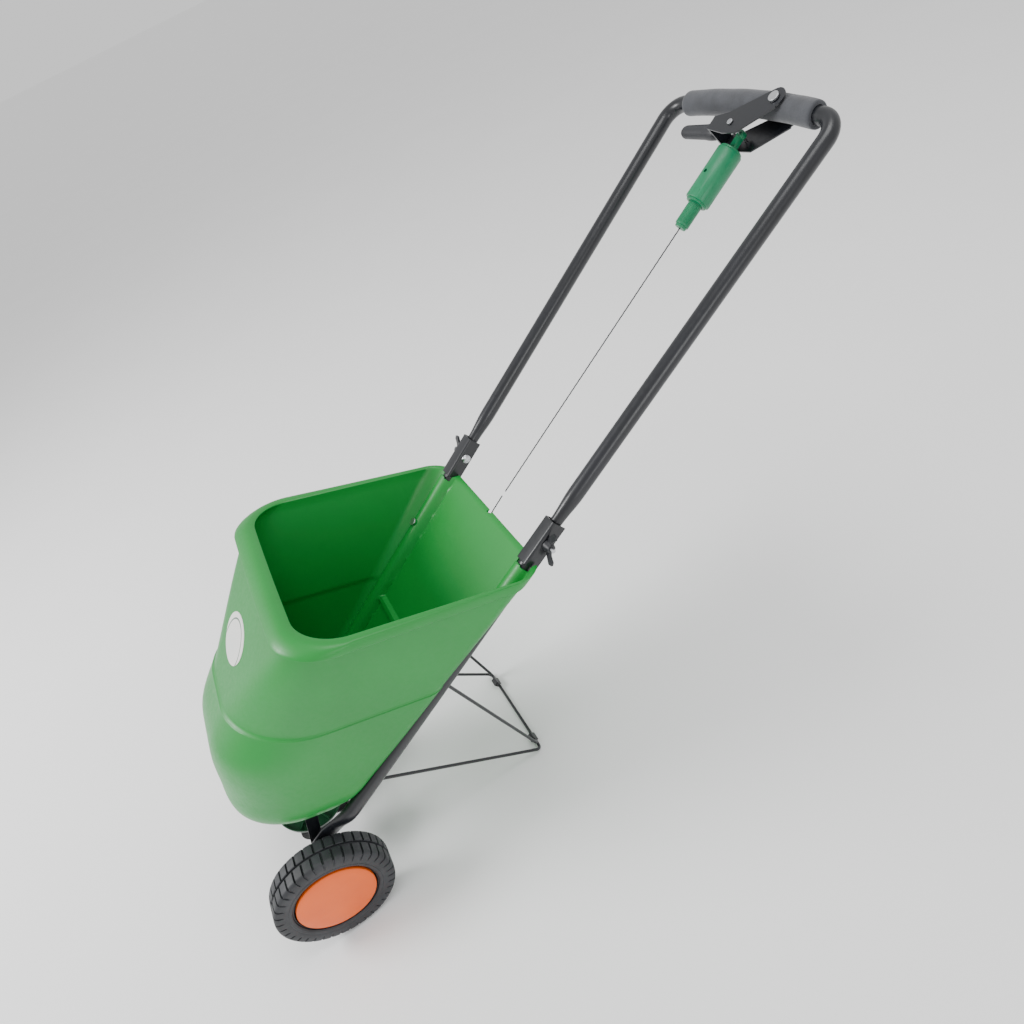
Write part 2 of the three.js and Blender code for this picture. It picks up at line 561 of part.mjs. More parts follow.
function pivotBolt() {
  return join(cylinder(3, 44, v3(lever.x, lever.s, 1), Z, 12), cylinder(7, 3.4, v3(lever.x, lever.s, 22), Z, 20));
}
add(tubes, 'squeeze_lever', leverSolid(), material.blackSteel);
add(tubes, 'lever_tip', leverTip(), material.blackPlastic);
add(tubes, 'lever_pivot_bolt', pivotBolt(), material.zinc);
add(tubes, 'lever_pivot_nut', cut(cylinder(6.2, 5, v3(lever.x, lever.s, -22.6), Z, 6),
  cylinder(3.3, 12, v3(lever.x, lever.s, -22.6), Z, 12)), material.zinc);
add(tubes, 'clevis_pin', join(cylinder(2, 44, v3(lever.pinX, lever.pinS, -0.5), Z, 12),
  cylinder(4, 2, v3(lever.pinX, lever.pinS, 21.2), Z, 12)), material.zinc);

// ---------------------------------------------------------------- pull wire and its adjuster
const pinPoint = v3(lever.pinX, lever.pinS, pull.h);
const guidePoint = v3(0, pull.guideS, pull.h);
const pullWay = guidePoint.clone().sub(pinPoint).normalize();
const onPull = (distance) => pinPoint.clone().addScaledVector(pullWay, distance);
const rod = (radius, from, to, sides) => cylinder(radius, to - from, onPull((from + to) / 2), pullWay, sides);
function clevis() {
  const eye = cylinder(6, 8, pinPoint, Z, 16);
  const neck = box(9, adjuster.start + 3, 8, onPull(adjuster.start / 2 + 1.5));
  return cut(join(eye, neck), cylinder(2.4, 20, pinPoint, Z, 12));
}
function sleeve() {
  const { start, sleeve: length, sleeveRadius: r } = adjuster;
  const end = start + length;
  const outer = join(rod(r, start + 3, end, 28), rod(r - 2, start, start + 4, 28), rod(r - 3, end - 1, end + 3, 28));
  const bore = rod(adjuster.barrelRadius + 0.3, start + 12, end + 10, 20);
  const neckHole = rod(6.6, start - 10, start + 14, 20);
  return cut(outer, bore, neckHole);
}
function barrel() {
  const from = adjuster.start + adjuster.sleeve - 30;
  const to = adjuster.start + adjuster.sleeve + adjuster.barrel;
  return cut(join(rod(adjuster.barrelRadius, from, to - 3, 20), rod(adjuster.barrelRadius - 2, to - 4, to, 20)),
    rod(pull.wire + 0.3, to - 12, to + 10, 8));
}
const barrelEnd = adjuster.start + adjuster.sleeve + adjuster.barrel;
const splitDistance = (lever.pinS - pull.upperEnd) / -pullWay.y;
function wireGuide() {
  const block = box(8.2, 9, 6, v3(0, pull.guideS - 6, pull.h + 1.4));
  return cut(block, cylinder(2.2, 40, v3(0, pull.guideS, pull.h), Y, 10));
}
// The lower wire runs from the fold down to the gate, ending in a ferrule.
function lowerWire() {
  const head = v3(0, pull.lowerEnd, pull.h);
  const foot = v3(0, wireFoot.s, wireFoot.h);
  const way = head.clone().sub(foot);
  const length = way.length();
  way.normalize();
  const strand = cylinder(pull.wire, length, foot.clone().addScaledVector(way, length / 2), way, 8);
  return join(strand, cylinder(3.4, 6, foot, way, 12));
}
add(tubes, 'adjuster_clevis', clevis(), material.adjuster);
add(tubes, 'adjuster_sleeve', sleeve(), material.adjuster);
add(tubes, 'adjuster_barrel', barrel(), material.adjuster);
add(tubes, 'pull_wire_upper', rod(pull.wire, barrelEnd - 10, splitDistance, 8), material.zinc);
add(tubes, 'pull_wire_lower', lowerWire(), material.zinc);
add(tubes, 'wire_guide', wireGuide(), material.darkGreen);

// ---------------------------------------------------------------- handle clamp bolts and wing nuts
function clampBolt() {
  const x = tubeX(fold.s);
  return join(cylinder(fold.boltRadius, 44, v3(x + 6.5, fold.s, 0), X, 12),
    turnedAboutX([[x - 16, 0], [x - 15.4, 4], [x - 14, 6.4], [x - 12.4, 7.2], [x - 12.4, 0]], 16)
      .translate([0, fold.s, 0]));
}
function wingNut() {
  const x = tubeX(fold.s) + channel.half + 0.9;
  const hub = turnedAboutX([[x, 0], [x, 8], [x + 3, 7.5], [x + 10, 5.5], [x + 10, 0]], 16)
    .translate([0, fold.s, 0]);
  const wing = (turn) => {
    const shape = new THREE.Shape();
    shape.moveTo(0, -2);
    shape.lineTo(0, 6);
    shape.lineTo(10, 9);
    shape.lineTo(16, 16);
    shape.lineTo(21, 15);
    shape.lineTo(22, 8);
    shape.lineTo(12, 0);
    const plate = new THREE.ExtrudeGeometry(shape, { depth: 3, bevelEnabled: false });
    // The plate's flat lies across the bolt: its first axis points away from the bolt, its second along it.
    plate.translate(0, 1.6, -1.5).applyMatrix4(new THREE.Matrix4().makeBasis(Y, X, Z.clone().negate()));
    return solid(plate).rotate([turn, 0, 0]).translate([x, fold.s, 0]);
  };
  return cut(join(hub, wing(30), wing(210)), cylinder(fold.boltRadius + 0.3, 60, v3(x, fold.s, 0), X, 12));
}
for (const [name, side] of SIDES) {
  add(tubes, `clamp_bolt_${name}`, mirrored(clampBolt(), side), material.zinc);
  add(tubes, `wing_nut_${name}`, mirrored(wingNut(), side), material.blackPlastic);
}

// The origin lies under the middle of the bounding box.
const extent = new THREE.Box3().setFromObject(spreader, true);
for (const group of [ground, body]) group.position.y -= (extent.min.y + extent.max.y) / 2;

export default spreader;
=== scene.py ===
"""Garden spreader: green hopper on two treaded wheels, with a folding handle and a squeeze lever.

Sizes are in millimetres inside the shape functions and are turned into metres by the frame matrices.
"""

import json
import math

import bmesh
import bpy
from mathutils import Matrix, Vector

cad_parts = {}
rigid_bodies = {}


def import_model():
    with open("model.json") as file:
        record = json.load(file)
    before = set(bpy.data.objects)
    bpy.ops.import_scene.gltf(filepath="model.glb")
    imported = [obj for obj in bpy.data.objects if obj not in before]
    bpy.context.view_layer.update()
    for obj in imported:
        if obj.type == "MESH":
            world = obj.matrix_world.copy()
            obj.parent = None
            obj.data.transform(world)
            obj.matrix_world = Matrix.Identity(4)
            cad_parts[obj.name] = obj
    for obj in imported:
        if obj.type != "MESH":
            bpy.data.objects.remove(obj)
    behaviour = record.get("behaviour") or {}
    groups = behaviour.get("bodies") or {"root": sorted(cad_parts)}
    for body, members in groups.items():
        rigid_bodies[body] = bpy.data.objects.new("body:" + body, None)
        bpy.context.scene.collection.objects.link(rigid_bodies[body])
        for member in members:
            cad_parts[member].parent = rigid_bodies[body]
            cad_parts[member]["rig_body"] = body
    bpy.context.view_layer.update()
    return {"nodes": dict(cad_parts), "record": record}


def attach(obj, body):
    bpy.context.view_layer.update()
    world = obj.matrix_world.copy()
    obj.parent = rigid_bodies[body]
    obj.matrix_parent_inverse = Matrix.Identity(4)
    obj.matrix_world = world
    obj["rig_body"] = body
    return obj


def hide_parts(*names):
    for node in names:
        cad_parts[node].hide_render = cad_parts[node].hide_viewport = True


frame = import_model()
NODES = frame["nodes"]

# ------------------------------------------------------------------ driving dimensions, in millimetres
# The tube plane holds the sloping tubes: x across, s up along them, h square to them towards the front.
# A hopper level is (z, front y, half width, front corner radius, back corner radius).
AXLE_Y = -479.235
WHEEL_R = 85.0
LEAN = math.radians(23.0764)
TUBE_ANGLE = math.radians(52)
TUBE_Y, TUBE_Z = 293.0, 434.0
TUBE_R = 10.75
SPACING, SPLAY = 127.6, 0.0418
WALL = 2.8
RIM_Z = 462.0
LIP = 12.9
FOLD_S = 66.0
BAR_S, BAR_BOW, CORNER_R = 660.0, 8.0, 28.0
GRIP_R, GRIP_HALF = 16.4, 119.8
LEVELS = [
    (108, -60, 85, 72, 25), (113, -76, 92, 77, 25), (128, -92, 103, 82, 28), (150, -97, 117, 87, 30),
    (182, -99, 123, 91, 30), (250, -99, 133, 99, 30), (304, -75, 141, 107, 32), (308, -71, 140, 107, 32),
    (448, 6, 164, 46, 36), (462, 20, 165, 56, 36),
]
FRONT_BOW = 2.0
CREASE_Z = 304.0
LEDGE_Z, LEDGE_HALF, LEDGE_DEPTH = 289, 3.2, 5
LABEL_X, LABEL_Z = -8, 371
LABEL_HALF_W, LABEL_HALF_H = 42.8, 25.8
LEG_X = 93.0
LEVER_PIVOT = (58, 665, 0)
WIRE_R = 2.45
CABLE_H = -6
FOLD_GAP = (65.5, 73)

MM = Matrix.Scale(0.001, 4)
GROUND = Matrix.Translation((0, AXLE_Y / 1000, WHEEL_R / 1000)) @ MM
BODY = Matrix.Translation((0, AXLE_Y / 1000, WHEEL_R / 1000)) @ Matrix.Rotation(-LEAN, 4, "X") @ MM
TUBES = BODY @ Matrix.Translation((0, TUBE_Y, TUBE_Z)) @ Matrix.Rotation(TUBE_ANGLE, 4, "X")


def tube_x(s):
    return SPACING + SPLAY * s


def bar_s(x):
    return BAR_S + BAR_BOW * (1 - (x / 125) ** 2)


# ------------------------------------------------------------------ materials
def material(name, build):
    mat = bpy.data.materials.new(name)
    mat.use_nodes = True
    tree = mat.node_tree
    build(tree, tree.nodes["Principled BSDF"])
    return mat


def link(tree, out, into):
    tree.links.new(out, into)


def coordinates(tree):
    return tree.nodes.new("ShaderNodeTexCoord").outputs["Object"]


def noise(tree, scale, detail=4.0, roughness=0.5, stretch=None):
    node = tree.nodes.new("ShaderNodeTexNoise")
    node.inputs["Scale"].default_value = scale
    node.inputs["Detail"].default_value = detail
    node.inputs["Roughness"].default_value = roughness
    where = coordinates(tree)
    if stretch:
        mapping = tree.nodes.new("ShaderNodeMapping")
        mapping.inputs["Scale"].default_value = stretch
        link(tree, where, mapping.inputs["Vector"])
        where = mapping.outputs["Vector"]
    link(tree, where, node.inputs["Vector"])
    return node.outputs["Fac"]


def ramp(tree, value, stops):
    node = tree.nodes.new("ShaderNodeValToRGB")
    elements = node.color_ramp.elements
    while len(elements) < len(stops):
        elements.new(0.5)
    for element, (place, color) in zip(elements, stops):
        element.position = place
        element.color = (*color, 1)
    link(tree, value, node.inputs["Fac"])
    return node.outputs["Color"]


def spread(tree, value, low, high):
    node = tree.nodes.new("ShaderNodeMapRange")
    node.inputs["From Min"].default_value = 0.3
    node.inputs["From Max"].default_value = 0.7
    node.inputs["To Min"].default_value = low
    node.inputs["To Max"].default_value = high
    link(tree, value, node.inputs["Value"])
    return node.outputs["Result"]


def bump(tree, shader, heights):
    """Stack bumps of (height output, strength, distance in metres) on the shader's normal."""
    last = None
    for height, strength, distance in heights:
        node = tree.nodes.new("ShaderNodeBump")
        node.inputs["Strength"].default_value = strength
        node.inputs["Distance"].default_value = distance
        link(tree, height, node.inputs["Height"])
        if last:
            link(tree, last, node.inputs["Normal"])
        last = node.outputs["Normal"]
    link(tree, last, shader.inputs["Normal"])


def plain(base, dark, rough, grain=900.0, grain_strength=0.12, metallic=0.0, coat=0.0, patch=14.0,
          coat_rough=0.2, stretch=None):
    """A moulded or painted finish: slow colour drift, fine surface grain, uneven gloss and a few scuffs."""
    def build(tree, shader):
        drift = noise(tree, patch, 5.0)
        link(tree, ramp(tree, drift, [(0.3, dark), (0.7, base)]), shader.inputs["Base Color"])
        scuffs = noise(tree, 160.0, 6.0, 0.7, stretch)
        link(tree, spread(tree, scuffs, rough - 0.05, rough + 0.09), shader.inputs["Roughness"])
        shader.inputs["Metallic"].default_value = metallic
        shader.inputs["Coat Weight"].default_value = coat
        shader.inputs["Coat Roughness"].default_value = coat_rough
        bump(tree, shader, [(noise(tree, grain, 2.0), grain_strength, 0.0003),
                            (noise(tree, 45.0, 2.0), 0.05, 0.001)])
    return build


def foam_finish(tree, shader):
    cells = tree.nodes.new("ShaderNodeTexVoronoi")
    cells.inputs["Scale"].default_value = 700.0
    link(tree, coordinates(tree), cells.inputs["Vector"])
    drift = noise(tree, 60.0, 5.0)
    link(tree, ramp(tree, drift, [(0.3, (0.032, 0.034, 0.040)), (0.7, (0.060, 0.063, 0.072))]),
         shader.inputs["Base Color"])
    link(tree, spread(tree, drift, 0.8, 0.95), shader.inputs["Roughness"])
    shader.inputs["Sheen Weight"].default_value = 0.25
    shader.inputs["Sheen Roughness"].default_value = 0.5
    bump(tree, shader, [(cells.outputs["Distance"], 0.5, 0.0005), (noise(tree, 90.0, 3.0), 0.3, 0.0012)])


def label_finish(tree, shader):
    """Off-white film with a thin dark ring near its edge, in the label's own plane."""
    mapping = tree.nodes.new("ShaderNodeMapping")
    mapping.vector_type = "POINT"
    centre = BODY @ Vector((LABEL_X, -24, LABEL_Z))
    mapping.inputs["Location"].default_value = (-centre.x / 0.043, 0, -centre.z / 0.0247)
    mapping.inputs["Scale"].default_value = (1 / 0.043, 0, 1 / 0.0247)
    link(tree, coordinates(tree), mapping.inputs["Vector"])
    length = tree.nodes.new("ShaderNodeVectorMath")
    length.operation = "LENGTH"
    link(tree, mapping.outputs["Vector"], length.inputs[0])
    paper = (0.80, 0.80, 0.76)
    ink = (0.05, 0.12, 0.08)
    link(tree, ramp(tree, length.outputs["Value"],
                    [(0.0, (0.74, 0.76, 0.73)), (0.80, paper), (0.81, ink), (0.85, ink), (0.86, paper)]),
         shader.inputs["Base Color"])
    link(tree, spread(tree, noise(tree, 120.0), 0.28, 0.42), shader.inputs["Roughness"])
    bump(tree, shader, [(noise(tree, 300.0, 2.0), 0.1, 0.0002)])


MATERIALS = {
    "hopper_green": material("hopper_green", plain((0.001, 0.255, 0.030), (0.001, 0.215, 0.024), 0.42,
                                                   grain=1400, grain_strength=0.10, coat=0.08, patch=6.0)),
    "black_painted_steel": material("black_painted_steel", plain(
        (0.005, 0.006, 0.010), (0.003, 0.004, 0.006), 0.32, grain=500, grain_strength=0.06, coat=0.25)),
    "zinc_steel": material("zinc_steel", plain((0.62, 0.63, 0.65), (0.50, 0.51, 0.53), 0.30, grain=1200,
                                               grain_strength=0.10, metallic=1.0, stretch=(1, 6, 6))),
    "dark_wire": material("dark_wire", plain((0.05, 0.052, 0.058), (0.025, 0.026, 0.03), 0.38, grain=2500,
                                             grain_strength=0.15, metallic=0.6)),
    "tyre_rubber": material("tyre_rubber", plain((0.028, 0.030, 0.035), (0.016, 0.017, 0.020), 0.55,
                                                 grain=1100, grain_strength=0.25, patch=30.0)),
    "black_plastic": material("black_plastic", plain((0.022, 0.023, 0.027), (0.014, 0.015, 0.018), 0.42,
                                                     grain=1300, grain_strength=0.22)),
    "orange_plastic": material("orange_plastic", plain((0.86, 0.125, 0.001), (0.78, 0.105, 0.001), 0.42,
                                                       grain=1200, grain_strength=0.10, patch=20.0)),
    "dark_green_plastic": material("dark_green_plastic", plain((0.004, 0.065, 0.022), (0.003, 0.045, 0.016),
                                                               0.38, grain=1200, grain_strength=0.12)),
    "adjuster_green": material("adjuster_green", plain((0.004, 0.20, 0.080), (0.003, 0.165, 0.066), 0.38,
                                                       grain=1200, grain_strength=0.10, patch=40.0)),
    "nylon": material("nylon", plain((0.68, 0.66, 0.58), (0.60, 0.57, 0.49), 0.45, grain=900)),
    "grip_foam": material("grip_foam", foam_finish),
    "label_vinyl": material("label_vinyl", label_finish),
}
NODE_SLOT = {part["node"]: part["material_slot"] for part in frame["record"]["subparts"]}


# ------------------------------------------------------------------ mesh helpers
def finish_piece(mesh, name, slot_name, body, replaced, sharp=35.0, bevel=0.0, segments=2):
    """Turn a mesh into a named piece with its finish, riding on a body."""
    obj = bpy.data.objects.new(name, mesh)
    bpy.context.scene.collection.objects.link(obj)
    mesh.materials.clear()
    mesh.materials.append(MATERIALS[slot_name])
    mesh.polygons.foreach_set("use_smooth", [True] * len(mesh.polygons))
    mesh.set_sharp_from_angle(angle=math.radians(sharp))
    if bevel:
        modifier = obj.modifiers.new("edges", "BEVEL")
        modifier.width = bevel / 1000
        modifier.segments = segments
        modifier.limit_method = "ANGLE"
        modifier.angle_limit = math.radians(32)
        modifier.use_clamp_overlap = True
        modifier.harden_normals = True
    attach(obj, body)
    if replaced:
        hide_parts(*replaced)
    return obj


def mesh_from(points, faces, matrix):
    mesh = bpy.data.meshes.new("shape")
    mesh.from_pydata([matrix @ Vector(p) for p in points], [], faces)
    mesh.update()
    bm = bmesh.new()
    bm.from_mesh(mesh)
    bmesh.ops.remove_doubles(bm, verts=bm.verts, dist=1e-6)
    bmesh.ops.recalc_face_normals(bm, faces=bm.faces)
    bm.to_mesh(mesh)
    bm.free()
    return mesh


def ring_faces(count, sides, closed=False, caps=(True, True)):
    faces = []
    for r in range(count if closed else count - 1):
        for i in range(sides):
            a, b = r * sides + i, r * sides + (i + 1) % sides
            up = ((r + 1) % count) * sides
            faces.append((a, b, up + (i + 1) % sides, up + i))
    if not closed:
        if caps[0]:
            faces.append(tuple(range(sides))[::-1])
        if caps[1]:
            faces.append(tuple((count - 1) * sides + i for i in range(sides)))
    return faces


def lofted(rings, matrix, closed=False, caps=(True, True)):
    points = [p for ring in rings for p in ring]
    return mesh_from(points, ring_faces(len(rings), len(rings[0]), closed, caps), matrix)


def ellipse(centre, u, v, sides):
    centre, u, v = Vector(centre), Vector(u), Vector(v)
    return [centre + u * math.cos(2 * math.pi * i / sides) + v * math.sin(2 * math.pi * i / sides)
            for i in range(sides)]


def turned(profile, axis, centre, sides, matrix, closed=False):
    """Turn (place along axis, radius) pairs round an axis; open profiles start and end on it."""
    axis = Vector(axis).normalized()
    u = axis.orthogonal().normalized()
    v = axis.cross(u)
    rings = [ellipse(Vector(centre) + axis * along, u * max(radius, 1e-4), v * max(radius, 1e-4), sides)
             for along, radius in profile]
    return lofted(rings, matrix, closed)


def rounded(points, radius, steps=8):
    """A polyline with its corners rounded to arcs of about that radius."""
    points = [Vector(p) for p in points]
    path = [points[0]]
    for before, corner, after in zip(points, points[1:], points[2:]):
        start = corner + (before - corner).normalized() * radius
        end = corner + (after - corner).normalized() * radius
        for i in range(steps + 1):
            t = i / steps
            path.append(start * (1 - t) ** 2 + corner * 2 * t * (1 - t) + end * t ** 2)
    path.append(points[-1])
    return path


def swept(path, radius, sides, matrix, end=0.6):
    """A round bar along a path, its ends slightly chamfered."""
    path = [Vector(p) for p in path]
    first = (path[1] - path[0]).normalized()
    last = (path[-1] - path[-2]).normalized()
    stations = [(path[0], radius - end)] + [(path[0] + first * end, radius)]
    stations += [(p, radius) for p in path[1:-1]]
    stations += [(path[-1] - last * end, radius), (path[-1], radius - end)]
    side = first.orthogonal().normalized()
    rings = []
    for i, (place, r) in enumerate(stations):
        ahead = stations[min(i + 1, len(stations) - 1)][0] - stations[max(i - 1, 0)][0]
        ahead.normalize()
        side = (side - ahead * side.dot(ahead)).normalized()
        rings.append(ellipse(place, side * r, ahead.cross(side) * r, sides))
    return lofted(rings, matrix)


def refined(node, bevel=0.35, segments=2, name=None):
    """A cleaned copy of a CAD node's mesh with rounded edges, standing for that node."""
    source = NODES[node]
    mesh = source.data.copy()
    bm = bmesh.new()
    bm.from_mesh(mesh)
    bmesh.ops.remove_doubles(bm, verts=bm.verts, dist=1e-6)
    bmesh.ops.dissolve_limit(bm, angle_limit=math.radians(0.6), verts=bm.verts, edges=bm.edges)
    bm.to_mesh(mesh)
    bm.free()
    return finish_piece(mesh, name or f"{node}_look", NODE_SLOT[node], source["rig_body"], [node],
                        sharp=32.0, bevel=bevel, segments=segments)


def joined(*meshes):
    """One mesh from several separate closed shells."""
    bm = bmesh.new()
    for mesh in meshes:
        bm.from_mesh(mesh)
    result = bpy.data.meshes.new("joined")
    bm.to_mesh(result)
    bm.free()
    return result


def carved(mesh, cutters):
    """The mesh with closed cutter meshes taken away from it."""
    whole = bpy.data.objects.new("whole", mesh)
    tool = bpy.data.objects.new("tool", joined(*cutters))
    for obj in (whole, tool):
        bpy.context.scene.collection.objects.link(obj)
    modifier = whole.modifiers.new("carve", "BOOLEAN")
    modifier.operation = "DIFFERENCE"
    modifier.solver = "EXACT"
    modifier.use_self = True
    modifier.object = tool
    graph = bpy.context.evaluated_depsgraph_get()
    result = bpy.data.meshes.new_from_object(whole.evaluated_get(graph))
    for obj in (whole, tool):
        bpy.data.objects.remove(obj)
    return result


def block(size, centre, matrix):
    x, y, z = (v / 2 for v in size)
    corners = [Vector(centre) + Vector((i * x, j * y, k * z))
               for k in (-1, 1) for j in (-1, 1) for i in (-1, 1)]
    faces = [(0, 2, 3, 1), (4, 5, 7, 6), (0, 1, 5, 4), (2, 6, 7, 3), (0, 4, 6, 2), (1, 3, 7, 5)]
    return mesh_from(corners, faces, matrix)


# ------------------------------------------------------------------ hopper
def level_at(z):
    """Outline values at a height: smooth through the levels, with a sharp step at the crease."""
    part = [level for level in LEVELS if (level[0] <= CREASE_Z) == (z <= CREASE_Z)]
    if z > CREASE_Z and z < part[0][0]:
        low, high = LEVELS[6], LEVELS[7]
        t = (z - low[0]) / (high[0] - low[0])
        return [a + t * (b - a) for a, b in zip(low, high)]
    z = min(max(z, part[0][0]), part[-1][0])
    k = max(1, next(i for i, lv in enumerate(part) if lv[0] >= z))
    low, high = part[k - 1], part[k]
    before = part[max(k - 2, 0)]
    after = part[min(k + 1, len(part) - 1)]
    width = high[0] - low[0]
    t = (z - low[0]) / width

    def slope(a, b, j):
        return (b[j] - a[j]) / max(b[0] - a[0], 1e-6) * width

    out = [z]
    for j in range(1, 5):
        m0, m1 = slope(before, high, j), slope(low, after, j)
        h00, h10 = 2 * t ** 3 - 3 * t ** 2 + 1, t ** 3 - 2 * t ** 2 + t
        h01, h11 = -2 * t ** 3 + 3 * t ** 2, t ** 3 - t ** 2
        out.append(h00 * low[j] + h10 * m0 + h01 * high[j] + h11 * m1)
    return out


def back_y(z, h):
    return TUBE_Y + (z - TUBE_Z) / math.tan(TUBE_ANGLE) - h / math.sin(TUBE_ANGLE)


BACK_SAMPLES = 96


def hopper_ring(z, grow, inside, back_grow=None, lift=0.0):
    """Points round the hopper at height z, grown outwards; the back wall steps in round both tubes."""
    _, front, half, front_r, back_r = level_at(z)
    back_grow = grow if back_grow is None else back_grow
    rear_limit = front + 90
    ring = []

    def corner(cx, cy, r, start, steps):
        for i in range(steps + 1):
            t = start + i * math.pi / 2 / steps
            x = cx + r * math.cos(t)
            bow = FRONT_BOW * (1 - (x / half) ** 2) if cy < front + front_r + 1 else 0.0
            ring.append(Vector((x, cy + r * math.sin(t) - max(bow, 0), z + lift)))

    rear = max(back_y(z, -2), rear_limit)
    bx = half - back_r
    fx = half - front_r
    corner(bx, rear - back_r, back_r + min(grow, back_grow), 0, 30)
    rest_h = -2 - back_grow * math.sin(TUBE_ANGLE)
    s = (z - TUBE_Z) / math.sin(TUBE_ANGLE)
    for i in range(1, BACK_SAMPLES):
        x = bx * (1 - 2 * i / BACK_SAMPLES)
        h = rest_h
        if inside and abs(z - LEDGE_Z) < LEDGE_HALF and abs(x) < tube_x(s) - 8:
            h += LEDGE_DEPTH * min(1.0, (LEDGE_HALF - abs(z - LEDGE_Z)) / 0.8)
        y = back_y(z, h) if rear > rear_limit else rear + back_grow
        ring.append(Vector((x, y, z + lift)))
    corner(-bx, rear - back_r, back_r + min(grow, back_grow), math.pi / 2, 30)
    corner(-fx, front + front_r, front_r + grow, math.pi, 18)
    for i in range(1, 24):
        x = fx * (-1 + i / 12)
        ring.append(Vector((x, front - grow - FRONT_BOW * (1 - (x / half) ** 2), z + lift)))
    corner(fx, front + front_r, front_r + grow, 1.5 * math.pi, 18)
    around = TUBE_R + 0.5 + (WALL if inside else 0.0)
    for p in ring:
        across = abs(p.x) - tube_x(s)
        if abs(across) < around and p.y > front + 60:
            p.y = min(p.y, back_y(z, math.sqrt(around ** 2 - across ** 2)))
    return ring


def steps_between(low, high, count):
    return [low + (high - low) * i / count for i in range(count + 1)]


def hopper_mesh():
    outer_z = (steps_between(108.6, 116, 6) + steps_between(119, 180, 18) + steps_between(184, 300, 24)
               + [302.5, 303.4, 304.0, 304.6, 305.4, 307.2, 308.0, 309.5]
               + steps_between(314, 444, 22) + [446.6])
    rings = [[p.lerp(Vector((0, p.y * 0.2 - 8, 108)), 0.06) for p in hopper_ring(108, 0, False)]]
    for z in outer_z:
        inset = 1.1 * max(0.0, 1 - abs(z - 305.2) / 0.9)
        rings.append(hopper_ring(z, -inset, False, back_grow=0.0))
    lip = [(447.0, 0.6), (447.2, 6.0), (447.1, LIP - 1.6), (447.7, LIP - 0.4), (449.2, LIP), (453.0, LIP + 0.0),
           (457.0, LIP - 0.1), (459.4, LIP - 0.9), (461.0, LIP - 2.4), (461.8, LIP - 4.4), (462.0, LIP - 6.5),
           (462.0, 4.0), (461.9, 0.0), (461.4, -1.7), (460.2, -WALL)]
    for z, grow in lip:
        rings.append(hopper_ring(z, grow, grow < 0, back_grow=max(min(grow, 2.9), -WALL)))
    inner_z = ([458.0] + steps_between(452, 318, 22) + steps_between(312, 294, 6)
               + [292.4, 292.0, 291.4, 289.0, 286.6, 286.0, 285.6] + steps_between(280, 120, 30) + [114, 111.4])
    for z in inner_z:
        rings.append(hopper_ring(z, -WALL, True))
    rings.append([p.lerp(Vector((0, 0, p.z)), 0.08) for p in hopper_ring(110.9, -WALL, True)])
    return lofted(rings, BODY)


def hopper_cutters():
    cutters = []
    for side in (1, -1):
        x = side * tube_x(60)
        cutters.append(block((28, 90, 27), (x, 68, -1), TUBES))
    cutters.append(block((9, 30, 7), (0, 38, -4), TUBES))
    for x in (-20, 0, 20):
        cutters.append(block((9, 3.4, 12), (x, 22, 108), BODY))
    cutters.append(turned([(-6, 0), (-6, 3.1), (6, 3.1), (6, 0)], (0, 0, 1), (0, 0, 108), 24, BODY))
    return cutters


finish_piece(carved(hopper_mesh(), hopper_cutters()), "hopper_shell", "hopper_green", "frame", ["hopper"],
             sharp=38.0)


def label_mesh():
    """A thin oval film that follows the front wall."""
    rings = []
    sides = 72
    for grow, share in ((0.42, 0.999), (0.72, 1.0), (0.85, 0.985), (0.85, 0.9), (0.85, 0.6), (0.85, 0.3),
                        (0.85, 0.02)):
        ring = []
        for i in range(sides):
            t = 2 * math.pi * i / sides
            x = LABEL_X + LABEL_HALF_W * share * math.cos(t)
            z = LABEL_Z + LABEL_HALF_H * share * math.sin(t)
            _, front, half, front_r, _ = level_at(z)
            y = front - grow - FRONT_BOW * (1 - (x / half) ** 2)
            ring.append(Vector((x, y, z)))
        rings.append(ring)
    back = [Vector((p.x, p.y + 0.35, p.z)) for p in rings[0]]
    return lofted([back] + rings, BODY)


finish_piece(label_mesh(), "oval_label", "label_vinyl", "frame", ["hopper_label"], sharp=50.0)

# ------------------------------------------------------------------ wheels
LUGS = 38
INNER = 104.5
TREAD_R = 84.9
TREAD_W = 44.0


def tyre_mesh(side):
    """A tyre with two rows of lugs, half a pitch apart, either side of a middle groove."""
    profile = [(2.4, 60.2), (0.8, 62), (0.3, 65), (0.9, 66.2), (0.5, 67.4), (0.2, 72), (0.2, 76), (0.6, 79.5),
               (1.6, 82.2), (3.4, 84.0), (5.6, 84.7), (9, TREAD_R), (14, TREAD_R), (19.4, TREAD_R),
               (20.2, 84.2), (20.6, 81.9), (23.4, 81.9), (23.8, 84.2), (24.6, TREAD_R), (30, TREAD_R),
               (35, TREAD_R), (38.4, 84.7), (40.6, 84.0), (42.4, 82.2), (43.4, 79.5), (43.8, 76), (43.8, 72),
               (43.5, 67.4), (43.1, 66.2), (43.7, 65), (43.2, 62), (41.6, 60.2)]
    fractions = [0.0, 0.03, 0.19, 0.22, 0.36, 0.5, 0.53, 0.69, 0.72, 0.86]
    rings = []
    for lug in range(LUGS):
        for f in fractions:
            angle = 2 * math.pi * (lug + f) / LUGS
            ring = []
            for along, radius in profile:
                start = 0.0 if along < 22 else 0.5
                gap = start + 0.029 < f < start + 0.191
                outward = min(along, TREAD_W - along)
                if gap and radius > 75 and not 20.0 < along < 24.0:
                    radius = min(radius, 81.7) - (0.5 if radius < 80 else 0.0)
                    along += math.copysign(max(0.0, 1.4 - outward * 0.3), 22 - along)
                x = side * (INNER + along)
                ring.append(Vector((x, radius * math.cos(angle), radius * math.sin(angle))))
            rings.append(ring)
    return lofted(rings, GROUND, closed=True)


